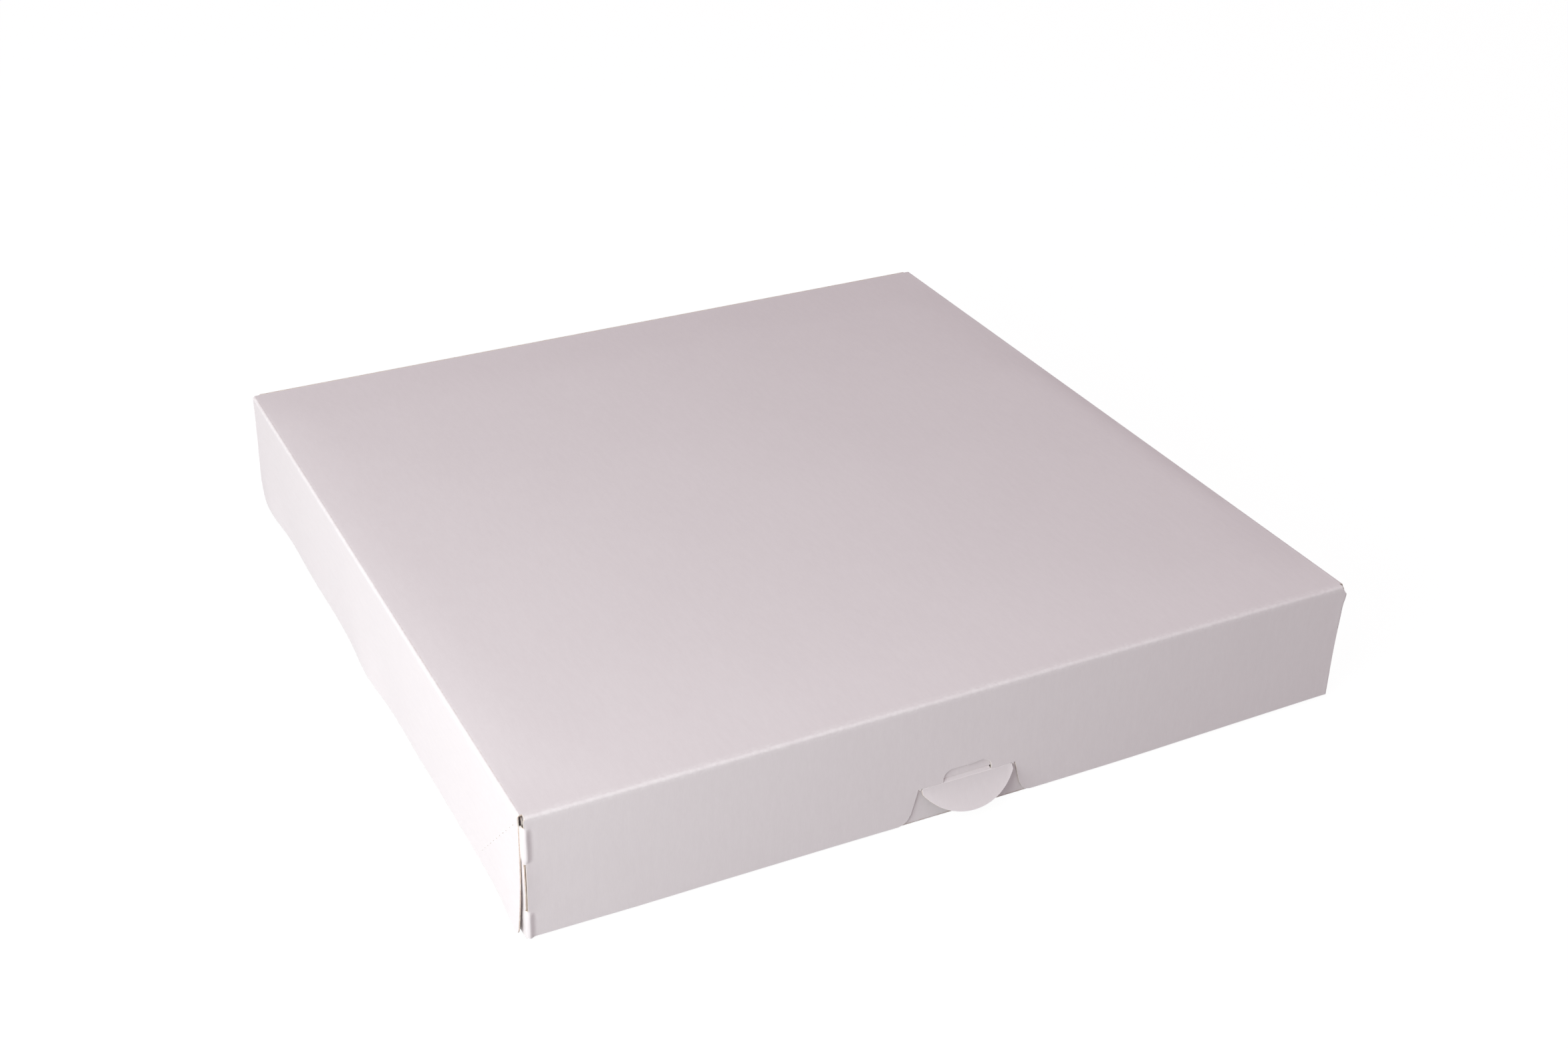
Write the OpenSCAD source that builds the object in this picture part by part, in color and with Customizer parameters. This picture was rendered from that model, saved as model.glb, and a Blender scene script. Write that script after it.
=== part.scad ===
// Flat cake box, folded and glued from one sheet of coated board: a tray, a lid that turns on the
// back wall's top fold, and a half-moon tab that locks the lid's front panel to the tray.
// X runs to the right, Y to the back and Z up. The origin is the middle of the closed box's
// footprint, on the table. The front is towards -Y.

/* [Box] */
// Width of the closed box, over the lid's side panels
box_w = 320; // [220:1:450]
// Depth of the closed box, from the lid's front panel to the back wall
box_d = 326; // [220:1:450]
// Height of the closed box
box_h = 49.5; // [44:0.5:110]

/* [Board] */
// Thickness of the board
board = 0.45; // [0.35:0.05:0.6]
// Inside radius of a folded crease
fold_r = 0.6; // [0.3:0.05:0.7]
// Thickness of the glue between two layers
glue = 0.15; // [0.1:0.05:0.25]
// Distance from a corner to the cut edge of the side panel beside it
cut_back = 2.2; // [1.5:0.1:4]
// Radius of the side panels' cut corners
corner_r = 3; // [1:0.5:5]
// Radius of the lid side panels' corners beside the back wall
heel_r = 9; // [3:1:14]

/* [Fits] */
// Gap between the lid's corner flaps and the tray's side walls
side_gap = 0.4; // [0.3:0.1:1.2]
// Gap between the lid's front panel and the tray's front wall
front_gap = 0.2; // [0.15:0.05:0.5]
// Gap between the tray's walls and the lid's top panel
top_gap = 0.5; // [0.3:0.1:2]
// Gap between the hinge's bead and the lid's back edge
hinge_gap = 0.05; // [0.03:0.01:0.15]
// Height of the lid's front panel above the table
front_lift = 0.8; // [0.3:0.1:3]
// Height of the lid's side panels above the table
side_lift = 2; // [0.5:0.1:5]
// Distance from the back wall to the lid's side panels
back_lift = 1; // [0.5:0.1:3]

/* [Glued corners] */
// Length of a glued corner flap
flap_l = 32; // [20:1:36]
// Distance from the corner to the glue on its flap
glue_in = 8; // [5:0.5:9]
// Length and height of the glue on a flap
glue_l = 15; // [8:0.5:16]
// Distance between a glued flap and the diagonal crease above or below it
flap_trim = 3; // [2:0.5:3.5]
// Height of the hole that is left at the corner where three panels meet
vertex_hole = 3; // [3:0.5:8]
// Height above the table where the cut through a lid corner's crease starts
slash_low = 12; // [6:0.2:14]
// Length of the cut through a lid corner's crease
slash_l = 19.2; // [8:0.2:22]

/* [Perforated diagonals] */
// Length of one cut
dash_l = 1.2; // [1:0.1:3]
// Distance from one cut to the next
dash_pitch = 4.8; // [4:0.1:10]
// Width of one cut
dash_w = 0.2; // [0.2:0.05:0.5]

/* [Lock] */
// Distance of the lock to the right of the middle
lock_x = 1.3; // [-20:0.1:20]
// Height of the tab's crease above the table
crease_h = 14.2; // [13:0.1:20]
// Width of the half-moon at its crease
moon_w = 38; // [30:0.1:50]
// Length of the half-moon below its crease
moon_l = 11.8; // [9:0.1:13]
// Angle that the half-moon stands out from the front panel
moon_tilt = 25; // [10:1:30]
// Height of the bead that the tab's crease raises on each face
bead_rise = 0.06; // [0.04:0.01:0.1]
// Width of the lip above the crease
lip_w = 18.6; // [12:0.1:24]
// Length of the lip above the crease
lip_l = 5; // [4:0.1:7]
// Radius of the lip's corners
lip_r = 3.3; // [1:0.1:3.5]
// Angle that the lip bends in from the half-moon
lip_bend = 13; // [12:1:25]
// Gap between the lip's cut edge and the window that it leaves in the front panel
lip_gap = 0.2; // [0.1:0.05:0.4]
// Gap between the lip and the slit in the tray's front wall, up and down
slit_play = 0.2; // [0.1:0.05:0.4]
// Distance from each end of the lip to the end of the slit
slit_end = 0.5; // [0.3:0.1:2]
// Gap between the half-moon's corners and the notch in the front panel
ear_gap = 0.25; // [0.15:0.05:0.6]
// Distance that the notch widens from its crease to its foot
notch_flare = 3.4; // [0:0.1:6]
// Radius at the foot of the notch
notch_r = 5; // [2:0.5:6]
// Length cut off each corner of the half-moon
ear_cut = 1.1; // [1.1:0.1:2]
// Radius of the panel's lobe beside each corner of the half-moon
lobe_r = 0.4; // [0.2:0.05:0.45]
// Width of the nick left by the knife in the middle of the window's top edge
nick_w = 0.7; // [0.4:0.1:1.2]

/* [Hidden] */
$fn = 48;

half_w = box_w / 2;
half_d = box_d / 2;
fold_out = fold_r + board;
past = 1;
lap = board;

// The lid, from outside to inside: side panel, glue, corner flap
lid_flap_x = half_w - board - glue;
lid_front_x = lid_flap_x - fold_out;
lid_front_y = -half_d + fold_out;
lid_side_y0 = -half_d + cut_back;
lid_side_y1 = half_d - back_lift;
lid_fold_z = box_h - fold_out;
lid_fold_top = box_h - vertex_hole - fold_out;

// The tray, inside the lid: side wall, glue, corner flap
tray_w = lid_flap_x - board - side_gap;
tray_flap_x = tray_w - board - glue;
tray_front_x = tray_flap_x - fold_out;
tray_y0 = -half_d + board + front_gap;
tray_y1 = half_d;
tray_top = box_h - board - top_gap;
tray_fold_low = vertex_hole + fold_out;

// The fold between the back wall and the lid turns about the inside of the crease
hinge_y = half_d - board;
hinge_z = box_h - board;

// The lock
moon_a = moon_w / 2;
moon_r = (moon_a * moon_a + moon_l * moon_l) / (2 * moon_l);
lock_y = -half_d + board / 2;
lip_a = moon_tilt + lip_bend;
window_w = lip_w + 2 * lip_gap;
notch_a = moon_a + ear_gap;
bead_r = board / 2 + bead_rise;
crease_gap = bead_r + hinge_gap;
wall_far = board / 2 + front_gap + board;
lip_rise = (wall_far + cos(lip_a) * board / 2) / tan(lip_a) + sin(lip_a) * board / 2;
slit_top = crease_h + lip_rise + slit_play;
slit_low = crease_h - board / 2 - slit_play;

// A plate from x towards +X, its outline drawn in Y and Z
module plate_yz(x, t = board) {
    translate([x, 0, 0]) rotate([90, 0, 90]) linear_extrude(t) children();
}

// A plate from y towards +Y, its outline drawn in X and Z
module plate_xz(y, t = board) {
    translate([0, y + t, 0]) rotate([90, 0, 0]) linear_extrude(t) children();
}

module both_sides() {
    children();
    mirror([1, 0, 0]) children();
}

// The section of a folded crease: a quarter ring, turned into the quarter that it fills, with a
// short leg that runs into each panel
module fold_section(turn) {
    rotate(turn) {
        intersection() {
            difference() {
                circle(fold_out);
                circle(fold_r);
            }
            square(fold_out);
        }
        translate([fold_r, -lap]) square([board, lap]);
        translate([-lap, fold_r]) square([lap, board]);
    }
}

module fold_along_x(x0, x1, y, z, turn) {
    translate([x0, 0, 0]) rotate([90, 0, 90]) linear_extrude(x1 - x0)
        translate([y, z]) fold_section(turn);
}

module fold_along_y(y0, y1, x, z, turn) {
    translate([0, y1, 0]) rotate([90, 0, 0]) linear_extrude(y1 - y0)
        translate([x, z]) fold_section(turn);
}

module fold_along_z(z0, z1, x, y, turn) {
    translate([0, 0, z0]) linear_extrude(z1 - z0) translate([x, y]) fold_section(turn);
}

// What is cut off an outline's corner to round it; the outline lies in the turned quarter
module corner_cut(u, v, r, turn) {
    translate([u, v]) rotate(turn) difference() {
        translate([-past, -past]) square(r + past);
        translate([r, r]) circle(r);
    }
}

// The cuts along a diagonal crease that leaves the corner at 45 degrees, down or up; the first
// lies two pitches from the corner
module dashes(u, v, turn, reach) {
    count = floor((reach * sqrt(2) - dash_pitch) / dash_pitch);
    translate([u, v]) rotate(turn)
        for (i = [2 : count]) translate([i * dash_pitch, 0]) square([dash_l, dash_w], center = true);
}

// The lid's top panel, narrower in front of the side panels
module lid_top() {
    translate([0, 0, box_h - board]) linear_extrude(board) union() {
        translate([-half_w + fold_out, lid_side_y0])
            square([box_w - 2 * fold_out, hinge_y - board - hinge_gap - lid_side_y0]);
        translate([-lid_front_x, lid_front_y])
            square([2 * lid_front_x, lid_side_y0 + past - lid_front_y]);
    }
}

// Half of the notch under the lock's crease: a slanted side, an arc that leaves it smoothly and
// ends square on the panel's lower edge, and the lobe that hangs into it beside the half-moon
module notch_half_outline() {
    top = crease_h + crease_gap;
    run = top - front_lift;
    slant = atan(notch_flare / run);
    foot_a = notch_a + notch_flare;
    arc_a = foot_a + notch_r / cos(slant) - notch_r * (1 - sin(slant)) * tan(slant);
    difference() {
        union() {
            polygon([[0, top], [notch_a, top], [foot_a, front_lift], [foot_a, 0], [0, 0]]);
            polygon([
                [notch_a, front_lift - past], [arc_a, front_lift - past], [arc_a, front_lift],
                [arc_a - notch_r * cos(slant), front_lift + notch_r * (1 - sin(slant))],
                [notch_a, front_lift + notch_r * (1 - sin(slant))]
            ]);
        }
        translate([arc_a, front_lift + notch_r]) circle(notch_r);
        translate([moon_a - ear_cut / 2, top - lobe_r / 2]) circle(lobe_r);
    }
}

module notch_outline() {
    translate([lock_x, 0]) {
        notch_half_outline();
        mirror([1, 0]) notch_half_outline();
    }
}

// The window that the lip leaves above the crease
module window_outline() {
    foot = crease_h - board;
    window_h = crease_h + lip_l + lip_gap - foot;
    translate([lock_x - window_w / 2, foot]) difference() {
        square([window_w, window_h]);
        corner_cut(0, window_h, lip_r + lip_gap, 270);
        corner_cut(window_w, window_h, lip_r + lip_gap, 180);
        translate([(window_w - nick_w) / 2, window_h - nick_w / 2]) square(nick_w);
    }
}

// The lid's front panel, with the lock's notch and window
module lid_front() {
    plate_xz(-half_d) difference() {
        translate([-lid_front_x, front_lift])
            square([2 * lid_front_x, lid_fold_z - front_lift]);
        notch_outline();
        window_outline();
    }
    fold_along_x(-lid_front_x, lid_front_x, lid_front_y, lid_fold_z, 90);
}

module lid_side_outline() {
    difference() {
        translate([lid_side_y0, side_lift])
            square([lid_side_y1 - lid_side_y0, lid_fold_z - side_lift]);
        corner_cut(lid_side_y0, side_lift, corner_r, 0);
        corner_cut(lid_side_y1, side_lift, heel_r, 90);
        dashes(-half_d, box_h, -45, box_h - side_lift);
    }
}

// The flap that closes a lid corner, glued behind the side panel below its diagonal crease
module lid_flap_outline() {
    back = -half_d + flap_l;
    polygon([
        [lid_front_y, front_lift], [lid_front_y, lid_fold_top],
        [-half_d + vertex_hole + fold_out - flap_trim + fold_out, lid_fold_top],
        [back, box_h - flap_l - flap_trim], [back, side_lift + fold_out], [lid_front_y + past, front_lift]
    ]);
}

// The right side of the lid: panel, fold, corner flap and glue
module lid_side() {
    slash_top = slash_low + slash_l;
    run_on = fold_out + past - board - glue;
    plate_yz(half_w - board) lid_side_outline();
    fold_along_y(lid_side_y0, lid_side_y1, half_w - fold_out, lid_fold_z, 0);
    plate_yz(lid_flap_x - board) lid_flap_outline();
    fold_along_z(front_lift, slash_low, lid_front_x, lid_front_y, 270);
    fold_along_z(slash_top, lid_fold_top, lid_front_x, lid_front_y, 270);
    // Above the crease, the front panel's edge stands free and runs on to the flap's inner face
    translate([lid_front_x - past, -half_d, lid_fold_top + glue])
        cube([run_on, board, lid_fold_z - lid_fold_top - glue]);
    // Where the crease is cut through, both panels run on to the corner
    translate([lid_front_x - past, -half_d, slash_low + glue])
        cube([run_on, board, slash_l - 2 * glue]);
    translate([lid_flap_x - board, -half_d + board + glue, slash_low + glue])
        cube([board, fold_r + past, slash_l - 2 * glue]);
    glue_patch(lid_flap_x, -half_d + glue_in, side_lift + corner_r);
}

// Glue between a flap and its panel, soaked into both: a square beside the corner, its lower
// corner nearest the front wall at y and z
module glue_patch(x, y, z) {
    soak = board / 3;
    plate_yz(x - soak, glue + 2 * soak) translate([y, z]) square(glue_l);
}

module lid() {
    color([0.84, 0.81, 0.82]) union() {
        lid_top();
        lid_front();
        both_sides() lid_side();
    }
}

// The tray's bottom, narrower at the front and back walls
module tray_bottom() {
    linear_extrude(board) union() {
        translate([-tray_w + fold_out, tray_y0 + cut_back])
            square([2 * (tray_w - fold_out), tray_y1 - tray_y0 - 2 * cut_back]);
        translate([-tray_front_x, tray_y0 + fold_out])
            square([2 * tray_front_x, tray_y1 - tray_y0 - 2 * fold_out]);
    }
}

// The slit in the tray's front wall that takes the lip
module slit_outline() {
    slit_w = window_w + 2 * slit_end;
    translate([lock_x - slit_w / 2, slit_low]) square([slit_w, slit_top - slit_low]);
}

module tray_front() {
    plate_xz(tray_y0) difference() {
        translate([-tray_front_x, fold_out])
            square([2 * tray_front_x, tray_top - fold_out]);
        slit_outline();
    }
    fold_along_x(-tray_front_x, tray_front_x, tray_y0 + fold_out, fold_out, 180);
}

// The back wall, with the bead of the crease that the lid turns on
module tray_back() {
    plate_xz(tray_y1 - board)
        translate([-tray_front_x, fold_out]) square([2 * tray_front_x, hinge_z - fold_out]);
    fold_along_x(-tray_front_x, tray_front_x, tray_y1 - fold_out, fold_out, 270);
    translate([-tray_front_x, hinge_y, hinge_z]) rotate([0, 90, 0])
        cylinder(h = 2 * tray_front_x, r = board);
}

module tray_side_outline() {
    y0 = tray_y0 + cut_back;
    y1 = tray_y1 - cut_back;
    difference() {
        translate([y0, fold_out]) square([y1 - y0, tray_top - fold_out]);
        corner_cut(y0, tray_top, corner_r, 270);
        corner_cut(y1, tray_top, corner_r, 180);
        dashes(tray_y0, 0, 45, tray_top);
        dashes(tray_y1, 0, 135, tray_top);
    }
}

// The flap that closes a tray corner, drawn from the corner at zero and pointing away from it
module tray_flap_outline() {
    polygon([
        [fold_out, tray_fold_low], [tray_fold_low - flap_trim + fold_out, tray_fold_low],
        [flap_l, flap_l + flap_trim], [flap_l, tray_top - past],
        [fold_out + past, tray_top], [fold_out, tray_top]
    ]);
}

// The right side of the tray: wall, fold, and the two corner flaps glued inside it
module tray_side() {
    plate_yz(tray_w - board) tray_side_outline();
    fold_along_y(tray_y0 + cut_back, tray_y1 - cut_back, tray_w - fold_out, fold_out, 270);
    plate_yz(tray_flap_x - board) {
        translate([tray_y0, 0]) tray_flap_outline();
        translate([tray_y1, 0]) mirror([1, 0]) tray_flap_outline();
    }
    fold_along_z(tray_fold_low, tray_top, tray_front_x, tray_y0 + fold_out, 270);
    fold_along_z(tray_fold_low, tray_top, tray_front_x, tray_y1 - fold_out, 0);
    glue_z = tray_top - corner_r - glue_l;
    glue_patch(tray_flap_x, tray_y0 + glue_in, glue_z);
    glue_patch(tray_flap_x, tray_y1 - glue_in - glue_l, glue_z);
}

module tray() {
    color([0.80, 0.77, 0.79]) union() {
        tray_bottom();
        tray_front();
        tray_back();
        both_sides() tray_side();
    }
}

// The half-moon below the crease, with its corners cut off
module moon_outline() {
    intersection() {
        translate([0, moon_r - moon_l]) circle(moon_r);
        translate([-moon_a + ear_cut, -moon_l - past]) square([moon_w - 2 * ear_cut, moon_l + past]);
    }
}

module lip_outline() {
    difference() {
        translate([-lip_w / 2, 0]) square([lip_w, lip_l]);
        corner_cut(-lip_w / 2, lip_l, lip_r, 270);
        corner_cut(lip_w / 2, lip_l, lip_r, 180);
    }
}

// The tab: half-moon and lip, bent about the crease between them, whose bead ends a board's
// thickness inside the half-moon's corners
module lock_tab() {
    bead_w = moon_w - 2 * (ear_cut + board);
    color([0.87, 0.84, 0.86]) translate([lock_x, lock_y, crease_h]) union() {
        rotate([-moon_tilt, 0, 0]) plate_xz(-board / 2) moon_outline();
        rotate([-lip_a, 0, 0]) plate_xz(-board / 2) lip_outline();
        translate([-bead_w / 2, 0, 0]) rotate([0, 90, 0]) cylinder(h = bead_w, r = bead_r);
    }
}

tray();
lid();
lock_tab();
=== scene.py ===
# A flat cake box folded from one sheet of coated white board, closed, seen from above its front
# left corner. X runs to the right, Y to the back, Z up, in metres.
import math

import bmesh
import bpy
from mathutils import Matrix, Vector, noise
from mathutils.bvhtree import BVHTree


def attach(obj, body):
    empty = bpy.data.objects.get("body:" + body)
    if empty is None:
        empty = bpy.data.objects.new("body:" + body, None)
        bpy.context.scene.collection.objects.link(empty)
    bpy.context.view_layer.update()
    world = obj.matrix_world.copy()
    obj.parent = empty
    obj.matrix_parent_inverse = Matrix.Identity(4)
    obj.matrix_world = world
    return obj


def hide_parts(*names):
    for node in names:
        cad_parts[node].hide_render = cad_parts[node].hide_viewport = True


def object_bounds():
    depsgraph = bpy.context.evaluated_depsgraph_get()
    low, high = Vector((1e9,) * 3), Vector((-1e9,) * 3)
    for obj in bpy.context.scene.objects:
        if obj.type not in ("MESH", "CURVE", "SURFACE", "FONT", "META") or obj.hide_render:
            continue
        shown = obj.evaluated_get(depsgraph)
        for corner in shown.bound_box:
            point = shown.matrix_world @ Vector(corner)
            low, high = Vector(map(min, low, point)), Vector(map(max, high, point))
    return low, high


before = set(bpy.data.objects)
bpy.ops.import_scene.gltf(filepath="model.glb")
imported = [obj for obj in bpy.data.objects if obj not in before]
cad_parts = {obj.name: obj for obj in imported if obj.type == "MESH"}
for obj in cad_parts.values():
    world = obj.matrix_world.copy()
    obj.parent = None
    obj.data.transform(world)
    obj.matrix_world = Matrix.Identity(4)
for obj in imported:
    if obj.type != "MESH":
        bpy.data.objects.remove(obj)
cad_size = [list(corner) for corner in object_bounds()]

MM = 0.001
BOX_HIGH = Vector(cad_size[1])
HALF_W = BOX_HIGH.x
HALF_D = BOX_HIGH.y
BOX_H = BOX_HIGH.z
BOARD = 0.45 * MM
# In millimetres: how far a rounded fold reaches in from a face, the middle of the lock's crease,
# half the width of the lip, and half the width of the strip that its crease takes up
FOLD_OUT = 1.05
CREASE = Vector((1.3, -162.775, 14.2))
LIP_HALF = 9.3
CREASE_HALF = 0.4
# In degrees: how much further the worn half-moon stands out than the drawn one
MOON_MORE = 8


# ---------------------------------------------------------------- camera, lamps and floor

def place_camera():
    data = bpy.data.cameras.new("camera")
    data.lens = 48.75
    data.sensor_width = 36.0
    data.sensor_fit = "HORIZONTAL"
    data.clip_start = 0.05
    data.clip_end = 50.0
    camera = bpy.data.objects.new("camera", data)
    bpy.context.scene.collection.objects.link(camera)
    azimuth = math.radians(-116.764)
    elevation = math.radians(29.547)
    roll = math.radians(0.616)
    target = Vector((14.64, 5.59, 24.59)) * MM
    away = Vector((
        math.cos(elevation) * math.cos(azimuth),
        math.cos(elevation) * math.sin(azimuth),
        math.sin(elevation),
    ))
    right = (-away).cross(Vector((0, 0, 1))).normalized()
    up = right.cross(-away)
    tilted_right = right * math.cos(roll) + up * math.sin(roll)
    tilted_up = up * math.cos(roll) - right * math.sin(roll)
    turn = Matrix((tilted_right, tilted_up, away)).transposed()
    camera.matrix_world = Matrix.Translation(target + away * 861.3 * MM) @ turn.to_4x4()
    bpy.context.scene.camera = camera


def soft_lamp(name, place, aim, size, power, tint):
    data = bpy.data.lights.new(name, "AREA")
    data.shape = "RECTANGLE"
    data.size = size[0]
    data.size_y = size[1]
    data.energy = power
    data.color = tint
    lamp = bpy.data.objects.new(name, data)
    bpy.context.scene.collection.objects.link(lamp)
    lamp.location = place
    lamp.rotation_euler = (Vector(aim) - Vector(place)).to_track_quat("-Z", "Y").to_euler()
    lamp.visible_camera = False
    return lamp


class Nodes:
    """A material's node tree, with short ways to add and join nodes."""

    def __init__(self, tree):
        self.tree = tree
        self.tree.nodes.clear()

    def add(self, kind, inputs=None, **settings):
        node = self.tree.nodes.new(kind)
        for key, value in settings.items():
            setattr(node, key, value)
        for key, value in (inputs or {}).items():
            if isinstance(value, bpy.types.NodeSocket):
                self.tree.links.new(value, node.inputs[key])
            else:
                node.inputs[key].default_value = value
        return node

    def math(self, operation, a, b=0.0, clamp=False):
        node = self.add("ShaderNodeMath", {0: a, 1: b}, operation=operation, use_clamp=clamp)
        return node.outputs[0]

    def mix(self, factor, a, b, blend="MIX"):
        node = self.add("ShaderNodeMix", data_type="RGBA", blend_type=blend)
        for socket, value in zip((node.inputs[0], node.inputs[6], node.inputs[7]), (factor, a, b)):
            if isinstance(value, bpy.types.NodeSocket):
                self.tree.links.new(value, socket)
            else:
                socket.default_value = value
        return node.outputs[2]

    def ramp(self, value, low, high):
        """0 below low, 1 above high, smooth between them."""
        node = self.add(
            "ShaderNodeMapRange",
            {"Value": value, "From Min": low, "From Max": high},
            interpolation_type="SMOOTHSTEP",
        )
        return node.outputs[0]

    def noise(self, vector, scale, detail=2.0, roughness=0.5):
        node = self.add(
            "ShaderNodeTexNoise",
            {"Vector": vector, "Scale": scale, "Detail": detail, "Roughness": roughness},
        )
        return node.outputs["Fac"]

    def stretched(self, vector, factors):
        node = self.add("ShaderNodeMapping", {"Vector": vector, "Scale": factors})
        return node.outputs["Vector"]


def make_material(name):
    material = bpy.data.materials.new(name)
    material.use_nodes = True
    return material, Nodes(material.node_tree)


def place_stage():
    bpy.ops.mesh.primitive_plane_add(size=8.0)
    floor = bpy.context.object
    floor.name = "floor"
    floor.data.name = "floor"
    material, n = make_material("pale_floor")
    plain = n.add("ShaderNodeBsdfDiffuse", {"Color": (0.50, 0.50, 0.50, 1.0)})
    white = n.add("ShaderNodeEmission", {"Color": (1.0, 1.0, 1.0, 1.0), "Strength": 0.95})
    shade = n.add("ShaderNodeBsdfDiffuse", {"Color": (0.09, 0.09, 0.09, 1.0)})
    part = n.add("ShaderNodeAddShader", {0: white.outputs[0], 1: shade.outputs[0]})
    path = n.add("ShaderNodeLightPath")
    shown = n.math("MAXIMUM", path.outputs["Is Camera Ray"], path.outputs["Is Glossy Ray"])
    choice = n.add(
        "ShaderNodeMixShader", {0: shown, 1: plain.outputs[0], 2: part.outputs[0]}
    )
    n.add("ShaderNodeOutputMaterial", {"Surface": choice.outputs[0]})
    floor.data.materials.append(material)

    world = bpy.data.worlds.new("studio")
    world.use_nodes = True
    w = Nodes(world.node_tree)
    sky = w.add("ShaderNodeBackground", {"Color": (1.0, 0.885, 0.917, 1.0), "Strength": 0.505})
    w.add("ShaderNodeOutputWorld", {"Surface": sky.outputs[0]})
    bpy.context.scene.world = world

    neutral = (0.985, 1.068, 1.033)
    soft_lamp("key_left", (-0.85, -0.55, 0.42), (-0.05, -0.05, 0.02), (0.5, 0.5), 6.2, neutral)
    soft_lamp("side_left", (-1.00, -0.15, 0.35), (-0.05, 0.00, 0.02), (0.5, 0.5), 1.4, neutral)
    soft_lamp("high_left", (-0.55, -0.45, 0.90), (-0.05, -0.05, 0.02), (0.5, 0.5), 1.3, neutral)
    soft_lamp("back_left", (-1.00, 0.50, 0.40), (-0.05, 0.05, 0.02), (0.5, 0.5), 1.0, neutral)
    bpy.context.scene.view_settings.view_transform = "Standard"


# ---------------------------------------------------------------- board materials

def sheet_grain(n):
    """Fibre streaks that run along the sheet's grain, and the softer cloud of its formation."""
    sheet = n.add("ShaderNodeUVMap", uv_map="sheet").outputs["UV"]
    streak = n.noise(n.stretched(sheet, (2600.0, 420.0, 1.0)), 1.0, 3.0, 0.6)
    broad = n.noise(n.stretched(sheet, (520.0, 110.0, 1.0)), 1.0, 2.0, 0.5)
    cloud = n.noise(n.stretched(sheet, (38.0, 22.0, 1.0)), 1.0, 3.0, 0.5)
    return streak, broad, cloud


def coated_board():
    """The printed side: white clay coat, semi-matt, with faint streaks, lighter along the folds
    (partly cracked coat, partly painted highlight), with brown lines that are partly cracks and
    partly painted shade, and a painted highlight along its cut edges.
    """
    material, n = make_material("coated_board")
    streak, broad, cloud = sheet_grain(n)
    place = n.add("ShaderNodeTexCoord").outputs["Object"]
    light = (0.784, 0.729, 0.753, 1.0)
    dark = (0.754, 0.697, 0.721, 1.0)
    tone = n.math("ADD", n.math("MULTIPLY", streak, 0.45), n.math("MULTIPLY", broad, 0.35))
    tone = n.math("ADD", tone, n.math("MULTIPLY", cloud, 0.20))
    base = n.mix(n.ramp(tone, 0.30, 0.70), dark, light)
    # The fold mark lightens a mottled band: on the lid's top folds partly cracked coat and partly
    # painted highlight, on the tab's shoulder crease a painted highlight
    folded = n.add("ShaderNodeAttribute", attribute_name="fold").outputs["Fac"]
    crumbs = n.noise(place, 650.0, 3.0, 0.6)
    patches = n.ramp(n.noise(place, 130.0, 2.0, 0.5), 0.25, 0.60)
    fold_wear_and_highlight = n.math("MULTIPLY", folded, n.ramp(crumbs, 0.25, 0.75))
    fold_wear_and_highlight = n.math("MULTIPLY", fold_wear_and_highlight, n.math("ADD", n.math("MULTIPLY", patches, 0.5), 0.5))
    base = n.mix(fold_wear_and_highlight, base, (0.845, 0.800, 0.820, 1.0))
    # The crack mark paints brown lines: real cracks along the lid's side folds, and painted shade
    # under the lid's front edge and under the tab's shoulder crease
    shade_and_crack_mask = n.add("ShaderNodeAttribute", attribute_name="crack_and_shade").outputs["Fac"]
    ragged = n.noise(place, 420.0, 4.0, 0.75)
    shade_and_crack_mark = n.math("MULTIPLY", shade_and_crack_mask, n.ramp(ragged, 0.38, 0.60))
    base = n.mix(shade_and_crack_mark, base, (0.50, 0.38, 0.31, 1.0))
    # Painted highlight: the rim mark makes the coated side lighter along every cut edge
    rim = n.add("ShaderNodeAttribute", attribute_name="rim").outputs["Fac"]
    base = n.mix(n.ramp(rim, 0.25, 0.85), base, (0.865, 0.830, 0.850, 1.0))
    relief = n.math("ADD", n.math("MULTIPLY", streak, 0.6), n.math("MULTIPLY", broad, 0.4))
    relief = n.math("ADD", relief, n.math("MULTIPLY", fold_wear_and_highlight, 1.2))
    relief = n.math("SUBTRACT", relief, n.math("MULTIPLY", shade_and_crack_mark, 2.5))
    bump = n.add("ShaderNodeBump", {"Strength": 0.25, "Distance": 0.00003, "Height": relief})
    rough = n.math("ADD", n.math("MULTIPLY", cloud, 0.10), 0.50)
    surface = n.add(
        "ShaderNodeBsdfPrincipled",
        {
            "Base Color": base,
            "Roughness": rough,
            "Specular IOR Level": 0.35,
            "Normal": bump.outputs[0],
        },
    )
    n.add("ShaderNodeOutputMaterial", {"Surface": surface.outputs[0]})
    return material


def board_back():
    """The uncoated inner side: matt, a little creamy, with visible fibres."""
    material, n = make_material("board_back")
    streak, broad, cloud = sheet_grain(n)
    tone = n.math("ADD", n.math("MULTIPLY", streak, 0.5), n.math("MULTIPLY", cloud, 0.5))
    base = n.mix(
        n.ramp(tone, 0.30, 0.70), (0.640, 0.585, 0.540, 1.0), (0.755, 0.700, 0.650, 1.0)
    )
    relief = n.math("ADD", streak, n.math("MULTIPLY", broad, 0.5))
    bump = n.add("ShaderNodeBump", {"Strength": 0.5, "Distance": 0.00006, "Height": relief})
    surface = n.add(
        "ShaderNodeBsdfPrincipled",
        {
            "Base Color": base,
            "Roughness": 0.88,
            "Specular IOR Level": 0.2,
            "Normal": bump.outputs[0],
        },
    )
    n.add("ShaderNodeOutputMaterial", {"Surface": surface.outputs[0]})
    return material


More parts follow.
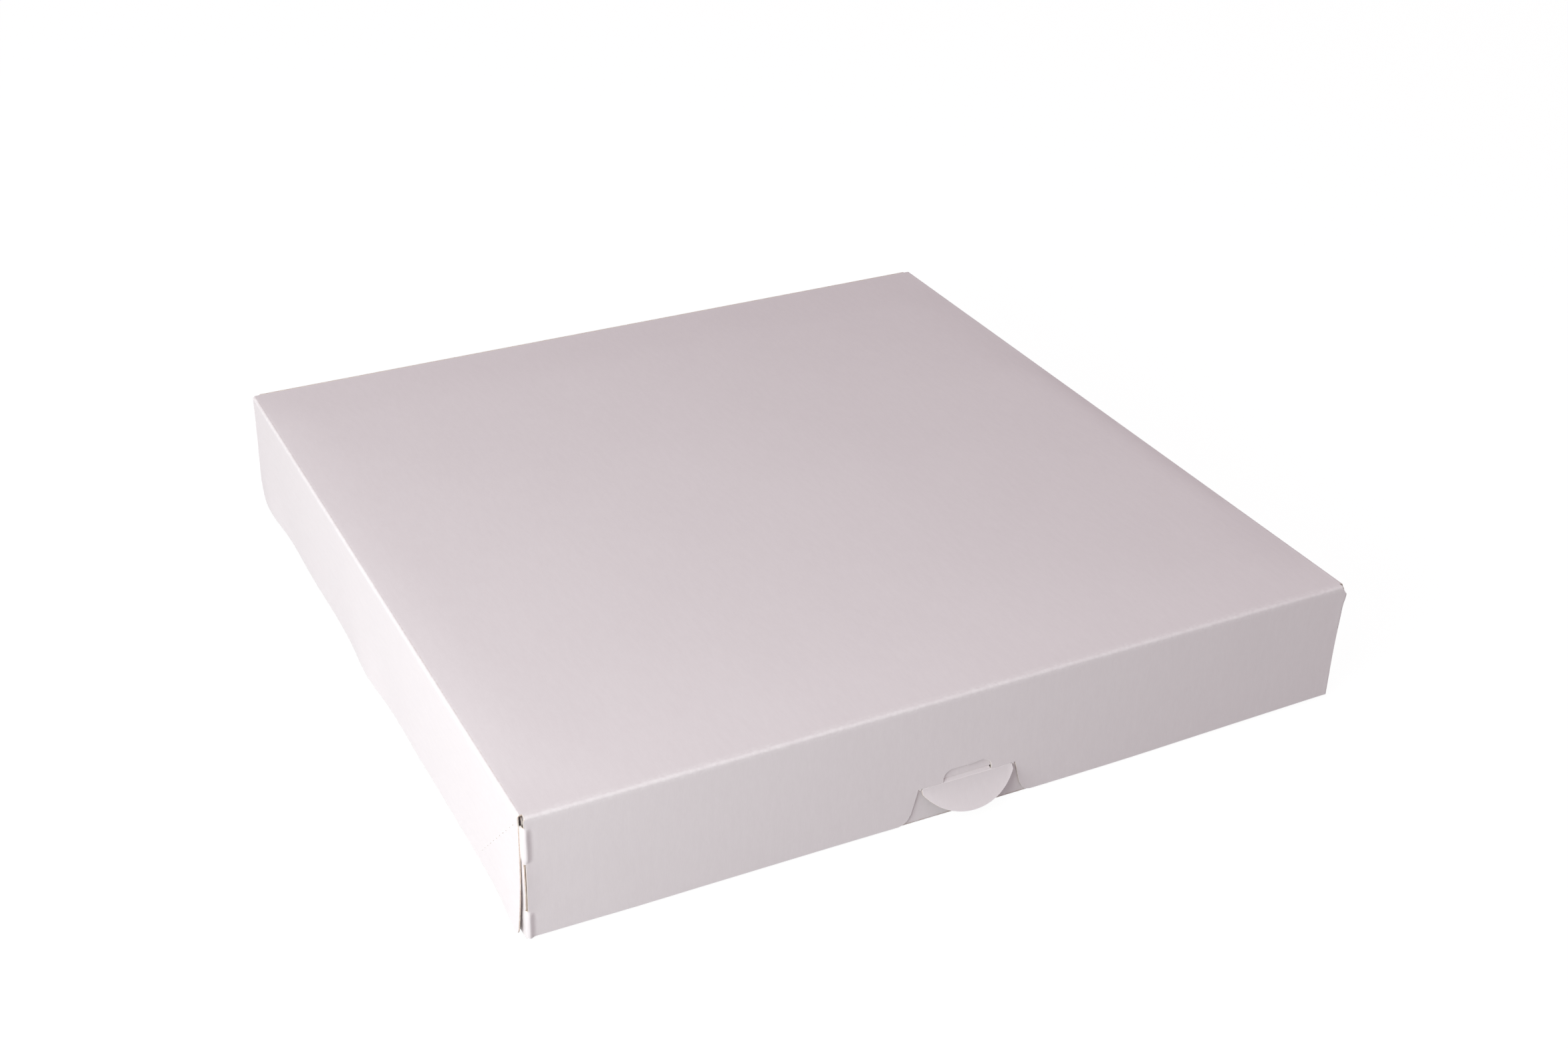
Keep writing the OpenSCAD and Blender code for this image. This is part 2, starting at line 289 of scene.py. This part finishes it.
def raw_edge():
    """The knife's cut through the plies: tan pulp between two white skins."""
    material, n = make_material("raw_edge")
    place = n.add("ShaderNodeTexCoord").outputs["Object"]
    pulp = n.noise(place, 2600.0, 4.0, 0.7)
    patch = n.noise(place, 240.0, 2.0, 0.5)
    base = n.mix(n.ramp(pulp, 0.3, 0.7), (0.60, 0.475, 0.405, 1.0), (0.83, 0.725, 0.655, 1.0))
    base = n.mix(n.ramp(patch, 0.40, 0.75), base, (0.84, 0.78, 0.72, 1.0))
    bump = n.add("ShaderNodeBump", {"Strength": 0.6, "Distance": 0.0001, "Height": pulp})
    surface = n.add(
        "ShaderNodeBsdfPrincipled",
        {
            "Base Color": base,
            "Roughness": 0.95,
            "Specular IOR Level": 0.1,
            "Normal": bump.outputs[0],
        },
    )
    n.add("ShaderNodeOutputMaterial", {"Surface": surface.outputs[0]})
    return material


# ---------------------------------------------------------------- the folded sheet

def hump(value, middle, width):
    return math.exp(-0.5 * ((value - middle) / width) ** 2)


def clamp(value, low=0.0, high=1.0):
    return max(low, min(high, value))


def smooth(value, low, high):
    t = clamp((value - low) / (high - low))
    return t * t * (3 - 2 * t)


def cut_across(bm, axis, places, near=None):
    """Cuts the sheet along planes square to an axis, so that it can bend there."""
    normal = Vector([1.0 if i == axis else 0.0 for i in range(3)])
    for place in places:
        faces = [
            f for f in bm.faces
            if min(v.co[axis] for v in f.verts) < place - 1e-7
            and max(v.co[axis] for v in f.verts) > place + 1e-7
            and (near is None or near(f.calc_center_bounds()))
        ]
        parts = set(faces)
        for f in faces:
            parts.update(f.edges)
            parts.update(f.verts)
        bmesh.ops.bisect_plane(
            bm, geom=list(parts), dist=1e-7, plane_co=normal * place, plane_no=normal
        )


def steps(low, high, pitch):
    count = max(1, round((high - low) / pitch))
    return [low + (high - low) * i / count for i in range(count + 1)]


def both(values):
    return sorted([-v for v in values] + list(values))


def sheet_copy(node):
    """The node's mesh as a fresh one, its loose triangles joined into whole panels."""
    bm = bmesh.new()
    bm.from_mesh(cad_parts[node].data)
    bmesh.ops.remove_doubles(bm, verts=bm.verts, dist=2e-6)
    bmesh.ops.dissolve_limit(
        bm, angle_limit=math.radians(0.1), verts=bm.verts, edges=bm.edges
    )
    return bm


def name_faces(bm):
    """Sets each face's material: 0 coated side, 1 inner side, 2 cut edge."""
    tree = BVHTree.FromBMesh(bm)
    middle = Vector((0, 0, BOX_H / 2))
    largest = {}
    for loops in bm.calc_loop_triangles():
        a, b, c = [loop.vert.co for loop in loops]
        area = (b - a).cross(c - a).length
        if area > largest.get(loops[0].face, (0.0,))[0]:
            largest[loops[0].face] = (area, a, b, c)
    for face in bm.faces:
        area, a, b, c = largest.get(face, (0.0,) + (face.calc_center_median(),) * 3)
        normal = face.normal
        depths = []
        for u, v in ((0.33, 0.33), (0.5, 0.2), (0.2, 0.5), (0.25, 0.25), (0.42, 0.4)):
            start = a + (b - a) * u + (c - a) * v
            hit = tree.ray_cast(start - normal * 0.02 * MM, -normal, 0.05)
            depths.append(hit[3] if hit[0] is not None else 1.0)
        depths.sort()
        centre = (a + b + c) / 3
        if depths[2] > 1.2 * MM:
            face.material_index = 2
        elif normal.dot(centre - middle) > 0:
            face.material_index = 0
        else:
            face.material_index = 1


def mark_rims(bm, width):
    """A narrow strip of the coated side along every cut edge, which the coated material paints
    lighter as a painted highlight where the cut edges catch the light.
    """
    rim = bm.verts.layers.float.new("rim")
    bmesh.ops.inset_region(
        bm,
        faces=[f for f in bm.faces if f.material_index == 0],
        thickness=width,
        use_boundary=True,
        use_even_offset=False,
    )
    for face in bm.faces:
        if face.material_index == 2:
            for v in face.verts:
                v[rim] = 1.0
    bm.normal_update()


def unfold(bm, top_side):
    """Lays each face out on the flat sheet, so that the grain runs as it does on the real one."""
    layer = bm.loops.layers.uv.new("sheet")
    for face in bm.faces:
        n = face.normal
        size = [abs(n.x), abs(n.y), abs(n.z)]
        way = size.index(max(size))
        for loop in face.loops:
            x, y, z = loop.vert.co
            drop = BOX_H - z if top_side else z
            if way == 2:
                loop[layer].uv = (x, y)
            elif way == 1:
                loop[layer].uv = (x, y + math.copysign(drop, y))
            elif abs(x) < HALF_W - BOARD * 1.2 and top_side:
                loop[layer].uv = (x + math.copysign(y + HALF_D, x), drop + HALF_D)
            else:
                loop[layer].uv = (x + math.copysign(drop, x), y)


def finish_sheet(bm, name, node, body, crease=None):
    mesh = bpy.data.meshes.new(name)
    bm.to_mesh(mesh)
    bm.free()
    piece = bpy.data.objects.new(name, mesh)
    bpy.context.scene.collection.objects.link(piece)
    for material in BOARD_LOOKS:
        mesh.materials.append(material)
    mesh.shade_smooth()
    mesh.set_sharp_from_angle(angle=math.radians(32))
    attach(piece, body)
    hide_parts(node)
    return piece


def lean_left(y):
    """How far the left side panel's lower edge stands out, along the box's depth."""
    out = 0.15 + 1.5 * hump(y, 143, 13) + 1.6 * hump(y, 4, 14) + 1.5 * hump(y, -162, 14)
    return out + 0.4 * hump(y, 82, 15) + 0.2 * hump(y, -52, 12)


def lean_right(y):
    return 0.3 + 0.9 * hump(y, 120, 30) + 1.1 * hump(y, -20, 24) + 0.3 * hump(y, -160, 20)


def settle(co):
    """How the whole closed box sits a little askew: lid, tray and tab share this."""
    x, y, z = co / MM
    low = clamp((BOX_H / MM - z) / (BOX_H / MM))
    front = 1 - smooth(y, -HALF_D / MM + 3, -HALF_D / MM + 90)
    left = 1 - smooth(x, -165, -118)
    right = smooth(x, 60, 165)
    shift = Vector((0, 0, 0))
    shift.z = low * front * (0.2 * left + 1.0 * right)
    wall = 1 - smooth(y, -HALF_D / MM, -HALF_D / MM + 30)
    shift.y = low * wall * 0.7 * smooth(x, 40, 170)
    shift.y += low ** 2 * wall * (1.2 * (1 - smooth(x, -100, 40)) + 0.5 * left)
    return shift * MM


def side_lean(y, z, left):
    """How far a side panel stands out, more and more towards its free lower edge."""
    depth = clamp((BOX_H / MM - 0.85 - z) / 46.6)
    if left:
        return lean_left(y - 0.55 * z) * depth ** 2.2
    return lean_right(y) * depth ** 2.2


def corner_swell(x, y, z):
    """The standing stretches of a corner crease swell, with a faint hollow beside them."""
    across = HALF_W / MM - abs(x)
    along = y + HALF_D / MM
    shift = Vector((0, 0, 0))
    if across > 8 or along > 4 or z > BOX_H / MM - 3.9:
        return shift
    swell = smooth(z, 31.2, 33.4) * (1 - smooth(z, 43.8, 45.5))
    swell += 1 - smooth(z, 10.0, 12.0)
    crest = math.exp(-((across - 1.7) / 0.95) ** 2) - 0.10 * math.exp(-((across - 3.7) / 0.8) ** 2)
    strength = 0.62 if x < 0 else 0.04
    shift.y = -strength * swell * crest * math.exp(-(along / 1.8) ** 2)
    shift.x = math.copysign(0.45 * strength * swell * math.exp(-(across / 1.4) ** 2), x)
    return shift


def lid_shift(co, panel):
    """The hand-folded lid isn't flat: how far a point of it stands away from the drawn one."""
    x, y, z = co / MM
    half_w, half_d, high = HALF_W / MM, HALF_D / MM, BOX_H / MM
    shift = Vector((0, 0, 0))
    # The top panel's slow waves, and its roll down to the folds at its sides
    if z > high - 1.2 and panel != "flap":
        inner = smooth(half_w - abs(x), 0.8, 24) * smooth(half_d - abs(y), 0.8, 24)
        wave = noise.noise(Vector((x / 90, y / 70, 3.1)))
        shift.z += inner * (0.15 + 0.4 * wave)
        ends = smooth(half_d - abs(y), 0.8, 40)
        steep = smooth(y, -115, -85) * (1 - smooth(y, 35, 65))
        left = clamp((half_w + x - FOLD_OUT) / 17)
        right = clamp((half_w - x - FOLD_OUT) / (24 - 15 * steep))
        shift.z += 0.7 * ends * left * (2 - left) * right * (2 - right)
    if panel == "side":
        shift.x += math.copysign(side_lean(y, z, x < 0), x)
        # The left one's front end hangs a little lower
        if x < 0:
            shift.z -= 1.2 * hump(y, -166, 16) * (1 - smooth(z, 0, 40))
    if panel == "flap":
        follow = smooth(y, -half_d + 1, -half_d + 13)
        shift.x += math.copysign(side_lean(max(y, -half_d + 8), z, x < 0) * follow, x)
    # The front panel is a little hollow between its ends
    if panel in ("front", "flap"):
        inner = smooth(half_w - abs(x), 1.0, 25) * smooth(high - z, 0.8, 14)
        shift.y += 0.15 * inner * noise.noise(Vector((x / 55, z / 45, 5.2)))
    # Its free end beside the cut in the left corner's crease stands out
    if panel == "front" and x < 0:
        free_end = smooth(z, 11.5, 14) * (1 - smooth(z, 29, 31.5))
        shift.y -= 0.3 * free_end * math.exp(-((half_w + x) / 3.5) ** 2)
    # The right corner is knocked outwards below its top
    if x > 0:
        corner = math.exp(-((half_w - x) / 5) ** 2) * math.exp(-((y + half_d) / 9) ** 2)
        bulge = 0.9 * hump(z, 43, 11) + 0.9 * hump(z, 45.2, 2.2)
        shift.x += corner * bulge * smooth(high - z, 0.5, 4)
    if panel != "side":
        shift += corner_swell(x, y, z)
    return shift * MM + settle(co)


def lid_panel(face):
    """Which panel of the lid a face belongs to."""
    x, y, z = face.calc_center_median() / MM
    if abs(x) > HALF_W / MM - 0.53 and z < BOX_H / MM - 0.5:
        return "side"
    if y < -HALF_D / MM + 0.9 and z < BOX_H / MM - 0.5:
        return "front"
    if abs(x) > HALF_W / MM - 1.9 and z < BOX_H / MM - 4:
        return "flap"
    return "top"


def beside_corner(centre):
    """Whether a face lies within 8 mm of one of the box's two front corners."""
    return abs(centre.x) > HALF_W - 8 * MM and centre.y < -HALF_D + 8 * MM


def make_lid():
    bm = sheet_copy("lid")
    name_faces(bm)
    mark_rims(bm, 0.3 * MM)
    edge = [HALF_W - s * MM for s in (FOLD_OUT, 1.25, 1.6, 2.3, 3.4, 5.2, 8.0, 12.0, 18.0)]
    cut_across(bm, 0, both(edge) + steps(-0.138, 0.138, 8 * MM))
    fine = [-HALF_D + s * MM for s in (FOLD_OUT, 1.6, 2.3, 3.4, 5.2, 8.0)]
    cut_across(bm, 1, fine + steps(-0.152, 0.160, 4 * MM))
    tall = steps(1 * MM, 49 * MM, 4 * MM) + [46.9 * MM, 47.7 * MM]
    cut_across(bm, 2, tall)
    round_corner = [HALF_W - s * MM for s in (0.6, 1.3, 1.9, 2.6, 3.0, 3.8, 4.4, 6.0, 7.0)]
    cut_across(bm, 0, both(round_corner), beside_corner)
    heights = (2, 4, 6, 8, 10, 10.7, 11.3, 11.8, 31.3, 31.8, 32.4, 33, 34, 36, 38, 40, 42, 43.6, 44.6)
    cut_across(bm, 2, [h * MM for h in heights], beside_corner)
    unfold(bm, True)
    fold = bm.verts.layers.float.new("fold")
    crack_and_shade = bm.verts.layers.float.new("crack_and_shade")
    panel_of = {v: "top" for v in bm.verts}
    order = {"side": 3, "flap": 2, "front": 1, "top": 0}
    for face in bm.faces:
        panel = lid_panel(face)
        for v in face.verts:
            if order[panel] > order[panel_of[v]]:
                panel_of[v] = panel
    for v in bm.verts:
        x, y, z = v.co / MM
        side = smooth(abs(x), HALF_W / MM - 2.4, HALF_W / MM - 0.8) * smooth(z, 47.3, 48.6)
        front = smooth(-y, HALF_D / MM - 3.6, HALF_D / MM - 0.9) * smooth(z, 46.8, 48.6)
        v[fold] = max(side, front)
        on_side_fold = abs(HALF_W / MM - abs(x) - FOLD_OUT) < 0.08 and z > 48.9
        v[crack_and_shade] = 0.4 if on_side_fold else 0.0
    moved = {v: lid_shift(v.co, panel_of[v]) for v in bm.verts}
    for v, shift in moved.items():
        v.co += shift
    return finish_sheet(bm, "lid_board", "lid", "lid")


def make_tray():
    bm = sheet_copy("tray")
    name_faces(bm)
    mark_rims(bm, 0.3 * MM)
    cut_across(bm, 0, steps(-0.155, 0.155, 10 * MM))
    cut_across(bm, 1, steps(-0.160, 0.160, 10 * MM))
    cut_across(bm, 2, [0.5 * MM, 0.9 * MM, 1.3 * MM] + steps(2 * MM, 48 * MM, 8 * MM))
    crack_and_shade = bm.verts.layers.float.new("crack_and_shade")
    for v in bm.verts:
        x, y, z = v.co / MM
        # Painted shade: a brown line along the tray's front foot, where it lies in shadow under the
        # lid's front edge
        ahead = smooth(-y, HALF_D / MM - 4, HALF_D / MM - 2) * smooth(x, -152, -138)
        v[crack_and_shade] = 0.75 * ahead * (1 - smooth(z, 0.7, 1.4))
    for v in bm.verts:
        v.co += settle(v.co)
    unfold(bm, False)
    return finish_sheet(bm, "tray_board", "tray", "tray")


def make_tab():
    bm = sheet_copy("lock_tab")
    name_faces(bm)
    mark_rims(bm, 0.25 * MM)
    cut_across(bm, 0, steps(-0.016, 0.020, 3 * MM))
    fold = bm.verts.layers.float.new("fold")
    crack_and_shade = bm.verts.layers.float.new("crack_and_shade")
    more = Matrix.Rotation(math.radians(-MOON_MORE), 4, "X")
    for v in bm.verts:
        x, y, z = v.co / MM - CREASE
        # On the lock's shoulder crease beside the lip: a painted highlight along its upper half, and
        # a painted shade line under it
        if max(abs(y), abs(z)) < CREASE_HALF and abs(x) > LIP_HALF:
            v[fold] = 1.0 if z > -0.05 else 0.0
            v[crack_and_shade] = 0.6 if z < -0.1 else 0.0
        if z < -CREASE_HALF:
            v.co = (more @ Vector((x, y, z)) + CREASE) * MM
        v.co += settle(v.co)
    unfold(bm, True)
    return finish_sheet(bm, "tab_board", "lock_tab", "lock_tab")


place_camera()
place_stage()
BOARD_LOOKS = [coated_board(), board_back(), raw_edge()]
make_lid()
make_tray()
make_tab()
